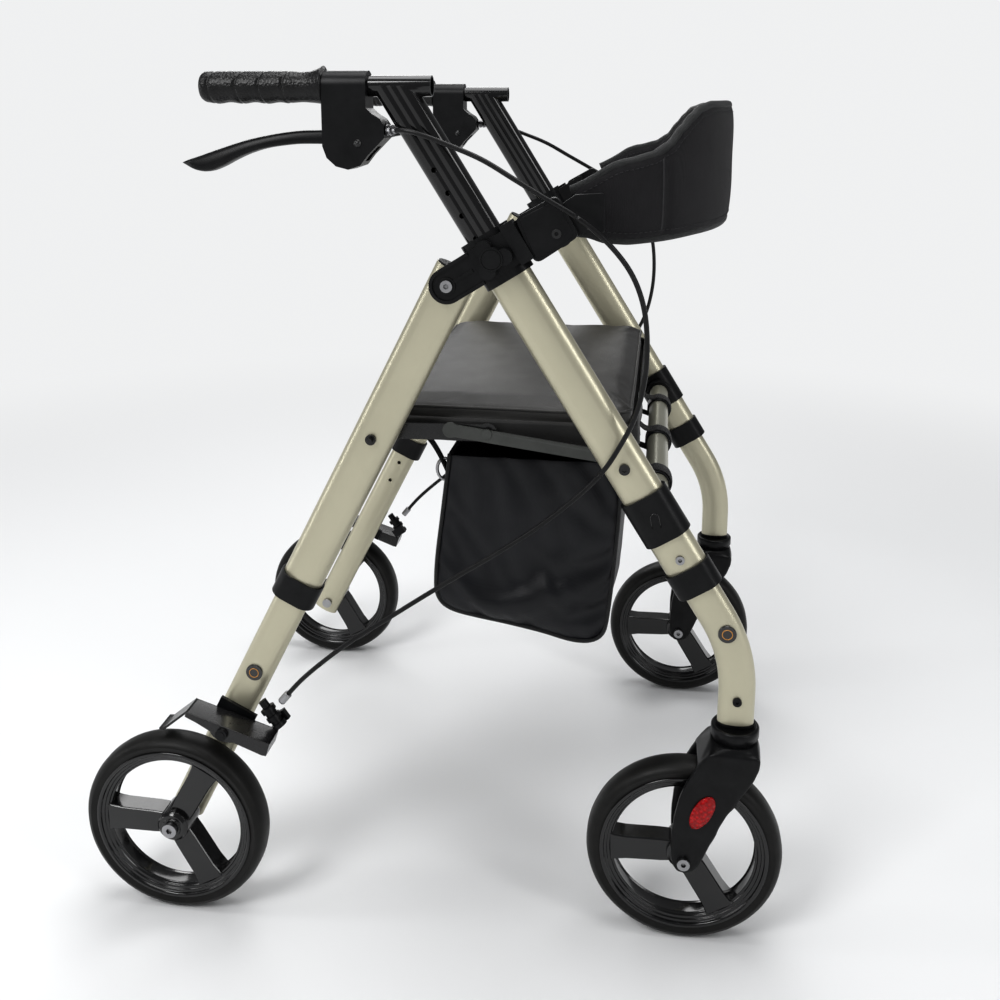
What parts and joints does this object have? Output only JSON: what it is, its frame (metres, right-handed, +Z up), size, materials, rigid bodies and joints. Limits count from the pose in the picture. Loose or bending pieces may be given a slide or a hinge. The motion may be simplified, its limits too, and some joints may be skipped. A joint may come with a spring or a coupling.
{
  "type": "rollator walker",
  "caption": "Folding wheeled walker with oval tube legs, hand brakes, padded seat, under-seat bag and curved padded backrest.",
  "frame": {"origin": "on the ground at the middle of the wheelbase, on the walker's mid-plane", "axes": "+X forward, +Y to the user's left, +Z up"},
  "size_m": [0.748, 0.6338, 0.9003],
  "materials": {
    "champagne": "satin metallic",
    "khaki": "satin",
    "black_plastic": "fine grain",
    "black_gloss": "gloss",
    "silver": "bright",
    "black_steel": "satin",
    "tyre": "matte",
    "rim": "gloss",
    "red": "prismatic",
    "grip": "grained",
    "vinyl": "padded vinyl",
    "nylon": "woven",
    "pad_fabric": "woven",
    "grey_steel": "satin"
  },
  "bodies": {
    "front_frame": {"front_leg_left": "champagne", "front_leg_right": "champagne", "front_cross_tube": "khaki", "tee_sleeves": "black_plastic", "bag_straps": "nylon", "front_collars": "black_plastic", "bracket_left": "black_plastic", "bracket_right": "black_plastic", "frame_bolts": "silver", "frame_screws": "black_steel", "bag": "nylon"},
    "rear_frame": {"rear_leg_left": "champagne", "rear_leg_right": "champagne", "rear_cross_tube": "khaki", "rear_caps": "black_plastic", "rear_collars": "black_plastic"},
    "seat": {"seat_cushion": "vinyl", "seat_base": "black_plastic"},
    "front_link_pair": {"front_links": "grey_steel"},
    "rear_link_pair": {"rear_links": "black_steel"},
    "backrest": {"backrest_band": "pad_fabric", "backrest_blocks": "black_plastic"},
    "rear_extension_left": {"rear_lower_leg_left": "champagne", "cable_anchor_left": "black_plastic", "rear_axle_left": "silver"},
    "brake_shoe_left": {"brake_arm_left": "black_steel"},
    "rear_wheel_left": {"rear_tyre_left": "tyre", "rear_rim_left": "rim"},
    "front_extension_left": {"front_lower_leg_left": "champagne", "stem_housing_left": "black_plastic"},
    "caster_left": {"caster_fork_left": "black_plastic", "caster_bolts_left": "silver", "reflector_left": "red"},
    "caster_wheel_left": {"caster_tyre_left": "tyre", "caster_rim_left": "rim"},
    "handle_left": {"handle_frame_left": "black_gloss", "grip_left": "grip", "brake_housing_left": "black_plastic", "cable_adjuster_left": "silver"},
    "lever_left": {"brake_lever_left": "black_plastic"},
    "knob_left": {"star_knob_left": "black_plastic"},
    "rear_extension_right": {"rear_lower_leg_right": "champagne", "cable_anchor_right": "black_plastic", "rear_axle_right": "silver"},
    "brake_shoe_right": {"brake_arm_right": "black_steel"},
    "rear_wheel_right": {"rear_tyre_right": "tyre", "rear_rim_right": "rim"},
    "front_extension_right": {"front_lower_leg_right": "champagne", "stem_housing_right": "black_plastic"},
    "caster_right": {"caster_fork_right": "black_plastic", "caster_bolts_right": "silver", "reflector_right": "red"},
    "caster_wheel_right": {"caster_tyre_right": "tyre", "caster_rim_right": "rim"},
    "handle_right": {"handle_frame_right": "black_gloss", "grip_right": "grip", "brake_housing_right": "black_plastic", "cable_adjuster_right": "silver"},
    "lever_right": {"brake_lever_right": "black_plastic"},
    "knob_right": {"star_knob_right": "black_plastic"}
  },
  "joints": [
    {"name": "frame_fold", "type": "hinge", "parent": "front_frame", "child": "rear_frame", "pos_m": [0.02755, 0, 0.69491], "axis": [0, -1, 0], "range_deg": [0, 29], "deforming": ["bag"]},
    {"name": "seat_flip", "type": "hinge", "parent": "front_frame", "child": "seat", "pos_m": [0.2075, 0, 0.528], "axis": [0, 1, 0], "range_deg": [0, 60]},
    {"name": "front_link_fold", "type": "hinge", "parent": "front_frame", "child": "front_link_pair", "pos_m": [0.20127, 0, 0.51692], "axis": [0, -1, 0], "range_deg": [-33.9, 0.1]},
    {"name": "rear_link_fold", "type": "hinge", "parent": "rear_frame", "child": "rear_link_pair", "pos_m": [-0.05322, 0, 0.53517], "axis": [0, -1, 0], "range_deg": [-0.1, 27.3]},
    {"name": "backrest_flip", "type": "hinge", "parent": "front_frame", "child": "backrest", "pos_m": [0.1325, 0, 0.747], "axis": [0, -1, 0], "range_deg": [0, 60]},
    {"name": "rear_height_left", "type": "slide", "parent": "rear_frame", "child": "rear_extension_left", "axis": [-0.4512, 0, -0.8924], "range_m": [-0.0254, 0.0508], "stiffness_N_per_m": 60000},
    {"name": "front_height_left", "type": "slide", "parent": "front_frame", "child": "front_extension_left", "axis": [0.5299, 0, -0.848], "range_m": [-0.0254, 0.0508], "stiffness_N_per_m": 60000},
    {"name": "handle_height_left", "type": "slide", "parent": "front_frame", "child": "handle_left", "axis": [-0.5299, 0, 0.848], "range_m": [-0.0508, 0.0762], "stiffness_N_per_m": 20000},
    {"name": "caster_swivel_left", "type": "hinge", "parent": "front_extension_left", "child": "caster_left", "pos_m": [0.32, 0.254, 0.24], "axis": [0, 0, 1], "continuous": true},
    {"name": "caster_roll_left", "type": "hinge", "parent": "caster_left", "child": "caster_wheel_left", "pos_m": [0.2725, 0.254, 0.1015], "axis": [0, 1, 0], "continuous": true},
    {"name": "rear_roll_left", "type": "hinge", "parent": "rear_extension_left", "child": "rear_wheel_left", "pos_m": [-0.2725, 0.254, 0.1015], "axis": [0, 1, 0], "continuous": true},
    {"name": "knob_turn_left", "type": "hinge", "parent": "front_frame", "child": "knob_left", "pos_m": [0.0725, 0.254, 0.723], "axis": [0, 1, 0], "continuous": true},
    {"name": "brake_lever_left", "type": "hinge", "parent": "handle_left", "child": "lever_left", "pos_m": [-0.0595, 0.254, 0.829], "axis": [0, 1, 0], "range_deg": [0, 12], "stiffness_Nm_per_rad": 2},
    {"name": "brake_press_left", "type": "hinge", "parent": "rear_extension_left", "child": "brake_shoe_left", "pos_m": [-0.21433, 0.254, 0.21211], "axis": [0, -1, 0], "range_deg": [0, 2.5]},
    {"name": "rear_height_right", "type": "slide", "parent": "rear_frame", "child": "rear_extension_right", "axis": [-0.4512, 0, -0.8924], "range_m": [-0.0254, 0.0508], "stiffness_N_per_m": 60000},
    {"name": "front_height_right", "type": "slide", "parent": "front_frame", "child": "front_extension_right", "axis": [0.5299, 0, -0.848], "range_m": [-0.0254, 0.0508], "stiffness_N_per_m": 60000},
    {"name": "handle_height_right", "type": "slide", "parent": "front_frame", "child": "handle_right", "axis": [-0.5299, 0, 0.848], "range_m": [-0.0508, 0.0762], "stiffness_N_per_m": 20000},
    {"name": "caster_swivel_right", "type": "hinge", "parent": "front_extension_right", "child": "caster_right", "pos_m": [0.32, -0.254, 0.24], "axis": [0, 0, 1], "continuous": true},
    {"name": "caster_roll_right", "type": "hinge", "parent": "caster_right", "child": "caster_wheel_right", "pos_m": [0.2725, -0.254, 0.1015], "axis": [0, 1, 0], "continuous": true},
    {"name": "rear_roll_right", "type": "hinge", "parent": "rear_extension_right", "child": "rear_wheel_right", "pos_m": [-0.2725, -0.254, 0.1015], "axis": [0, 1, 0], "continuous": true},
    {"name": "knob_turn_right", "type": "hinge", "parent": "front_frame", "child": "knob_right", "pos_m": [0.0725, -0.254, 0.723], "axis": [0, 1, 0], "continuous": true},
    {"name": "brake_lever_right", "type": "hinge", "parent": "handle_right", "child": "lever_right", "pos_m": [-0.0595, -0.254, 0.829], "axis": [0, 1, 0], "range_deg": [0, 12], "stiffness_Nm_per_rad": 2},
    {"name": "brake_press_right", "type": "hinge", "parent": "rear_extension_right", "child": "brake_shoe_right", "pos_m": [-0.21433, -0.254, 0.21211], "axis": [0, -1, 0], "range_deg": [0, 2.5]}
  ],
  "couplings": [
    {"joint": "front_link_fold", "follows": "frame_fold", "ratio": -1.168},
    {"joint": "rear_link_fold", "follows": "frame_fold", "ratio": 0.938},
    {"joint": "brake_press_left", "follows": "brake_lever_left", "ratio": 0.2},
    {"joint": "brake_press_right", "follows": "brake_lever_right", "ratio": 0.2}
  ]
}
